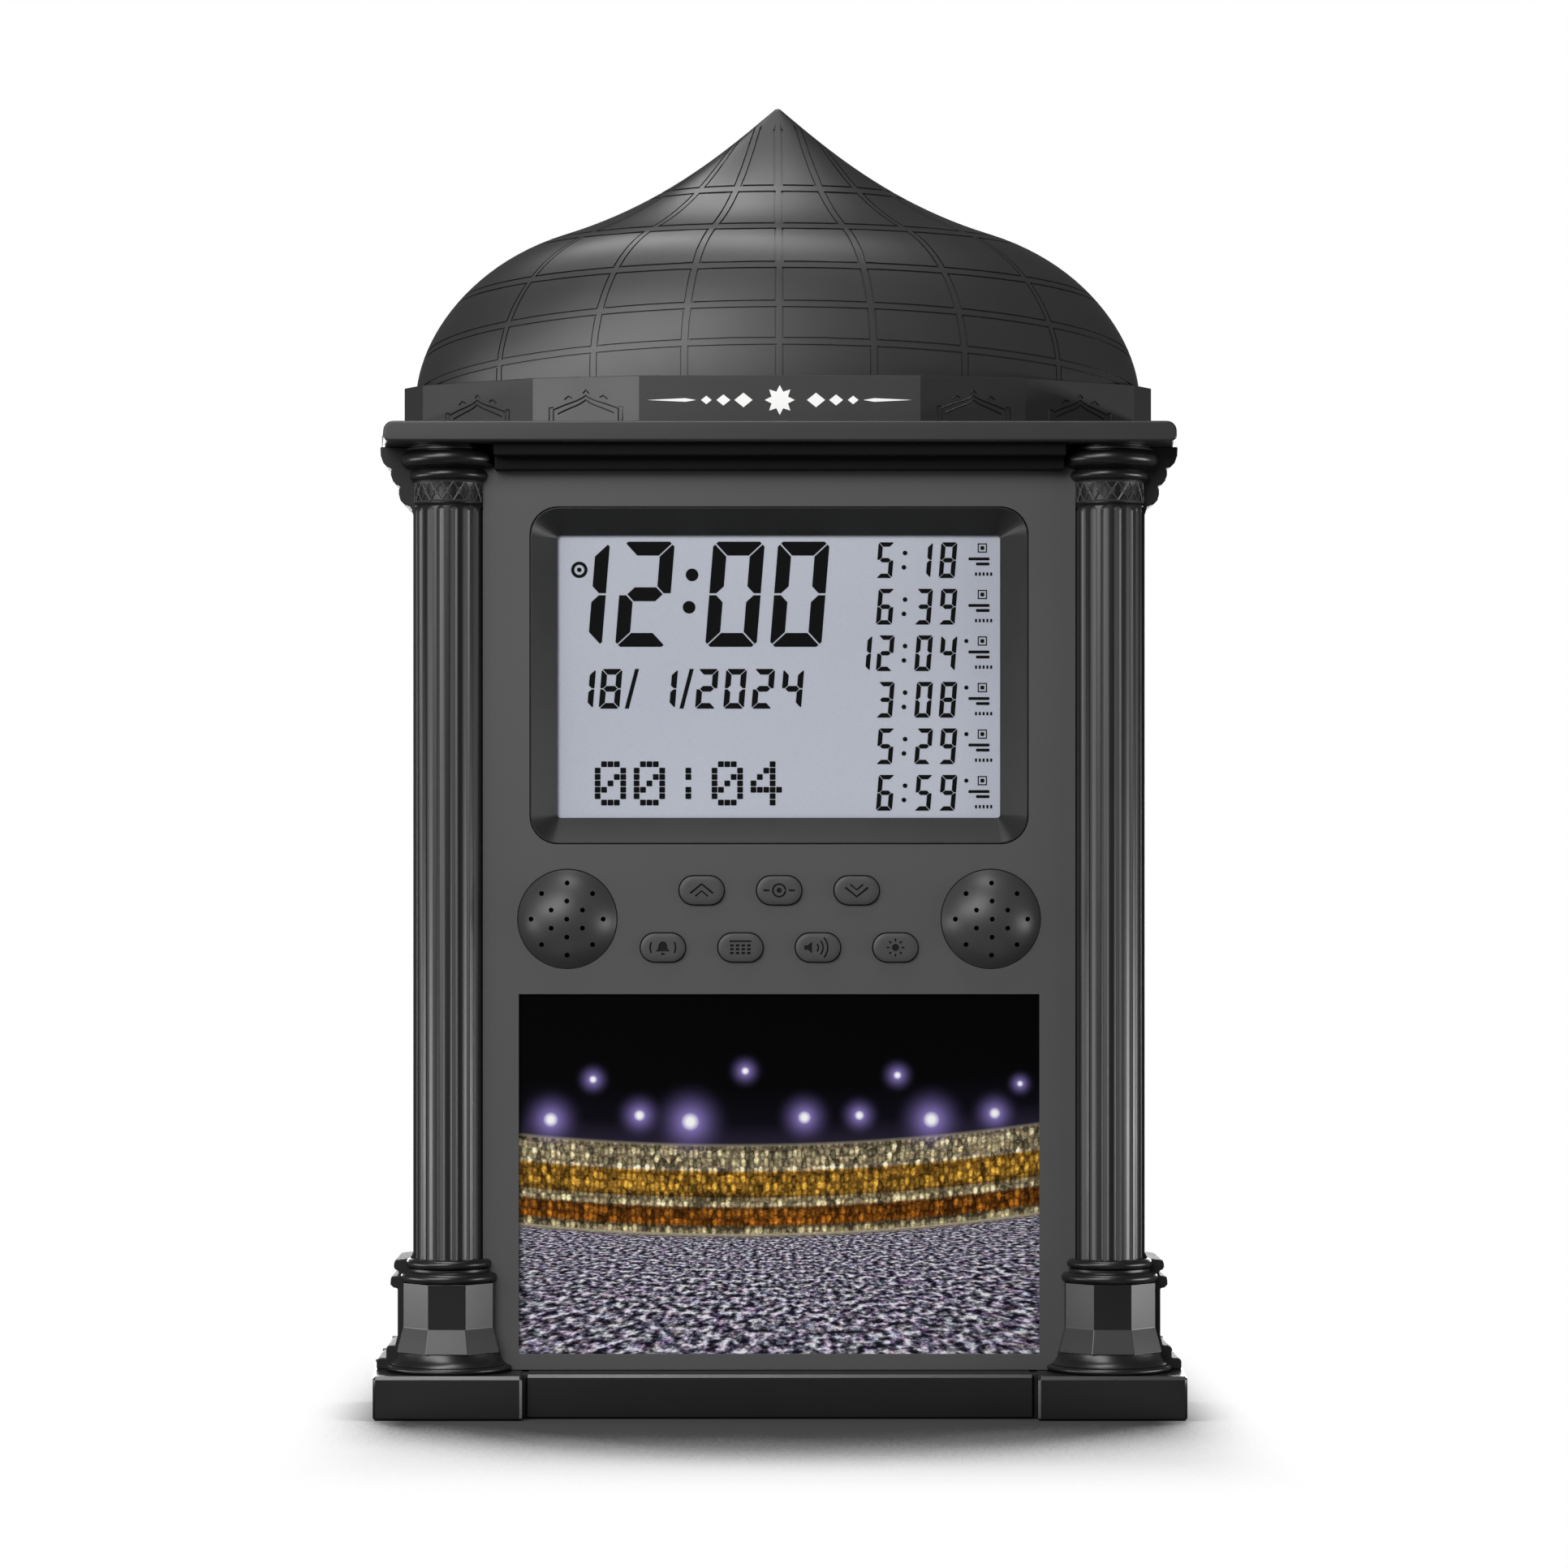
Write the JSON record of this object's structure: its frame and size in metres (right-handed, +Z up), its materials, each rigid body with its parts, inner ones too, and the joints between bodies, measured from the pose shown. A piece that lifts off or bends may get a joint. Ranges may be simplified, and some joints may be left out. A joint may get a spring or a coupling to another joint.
{
  "type": "azan clock",
  "caption": "Domed hall-shaped desk and wall clock with fluted columns, a recessed LCD, a picture window, push keys, domed speaker grilles and a rear battery door.",
  "frame": {"origin": "middle of the footprint on the floor", "axes": "+Z up to the tip of the dome, +Y towards the back cover, +X to the right as seen from the front"},
  "size_m": [0.194, 0.04, 0.312],
  "materials": {
    "black_abs": "satin moulded black ABS",
    "grey_abs": "fine-grained dark grey ABS",
    "key_abs": "dark grey ABS key caps with a raised mark",
    "white_abs": "natural white ABS",
    "tray_abs": "moulded black ABS, unpolished",
    "switch_plastic": "moulded nylon",
    "clear_window": "clear polystyrene sheet",
    "lcd_glass": "liquid crystal glass, matt polariser",
    "contact_rubber": "layered silicone",
    "circuit_board": "glass-filled board, green mask",
    "chip_epoxy": "black epoxy",
    "zinc_steel": "bright zinc plating",
    "ribbon_film": "flat ribbon",
    "speaker_steel": "pressed steel",
    "cone_paper": "pressed paper pulp",
    "print_paper": "glossy printed card",
    "backing_card": "grey board",
    "cell_jacket": "plain film jacket",
    "spring_steel": "nickel-plated wire",
    "contact_brass": "stamped strip",
    "lead_pvc": "PVC insulation"
  },
  "bodies": {
    "case": {"rear_cover": "black_abs", "base_plinth": "black_abs", "left_column": "black_abs", "right_column": "black_abs", "cornice": "black_abs", "drum_band": "black_abs", "dome_shell": "black_abs", "front_panel": "grey_abs", "display_bezel": "black_abs", "display_window": "clear_window", "lcd_panel": "lcd_glass", "lcd_carrier": "white_abs", "zebra_strips": "contact_rubber", "main_board": "circuit_board", "board_components": "chip_epoxy", "board_screws": "zinc_steel", "key_board": "circuit_board", "key_switches": "switch_plastic", "key_ribbon": "ribbon_film", "left_speaker_grille": "black_abs", "right_speaker_grille": "black_abs", "left_speaker": "speaker_steel", "right_speaker": "speaker_steel", "speaker_cones": "cone_paper", "picture_window": "clear_window", "picture_card": "print_paper", "picture_backing": "backing_card", "battery_tray": "tray_abs", "battery_cells": "cell_jacket", "battery_springs": "spring_steel", "battery_contacts": "contact_brass", "cover_screws": "zinc_steel", "key_board_screws": "zinc_steel", "battery_leads": "lead_pvc", "left_speaker_leads": "lead_pvc", "right_speaker_leads": "lead_pvc"},
    "up_button": {"up_button": "key_abs"},
    "set_button": {"set_button": "key_abs"},
    "down_button": {"down_button": "key_abs"},
    "alarm_button": {"alarm_button": "key_abs"},
    "date_button": {"date_button": "key_abs"},
    "volume_button": {"volume_button": "key_abs"},
    "light_button": {"light_button": "key_abs"},
    "battery_door": {"battery_door": "black_abs"}
  },
  "joints": [
    {"name": "up_press", "type": "slide", "parent": "case", "child": "up_button", "axis": [0, 1, 0], "range_m": [0, 0.0008], "stiffness_N_per_m": 1200, "springref_m": -0.0003},
    {"name": "set_press", "type": "slide", "parent": "case", "child": "set_button", "axis": [0, 1, 0], "range_m": [0, 0.0008], "stiffness_N_per_m": 1200, "springref_m": -0.0003},
    {"name": "down_press", "type": "slide", "parent": "case", "child": "down_button", "axis": [0, 1, 0], "range_m": [0, 0.0008], "stiffness_N_per_m": 1200, "springref_m": -0.0003},
    {"name": "alarm_press", "type": "slide", "parent": "case", "child": "alarm_button", "axis": [0, 1, 0], "range_m": [0, 0.0008], "stiffness_N_per_m": 1200, "springref_m": -0.0003},
    {"name": "date_press", "type": "slide", "parent": "case", "child": "date_button", "axis": [0, 1, 0], "range_m": [0, 0.0008], "stiffness_N_per_m": 1200, "springref_m": -0.0003},
    {"name": "volume_press", "type": "slide", "parent": "case", "child": "volume_button", "axis": [0, 1, 0], "range_m": [0, 0.0008], "stiffness_N_per_m": 1200, "springref_m": -0.0003},
    {"name": "light_press", "type": "slide", "parent": "case", "child": "light_button", "axis": [0, 1, 0], "range_m": [0, 0.0008], "stiffness_N_per_m": 1200, "springref_m": -0.0003},
    {"name": "battery_door_hinge", "type": "hinge", "parent": "case", "child": "battery_door", "pos_m": [0, 0.02, 0.06982], "axis": [-1, 0, 0], "range_deg": [0, 80]}
  ]
}
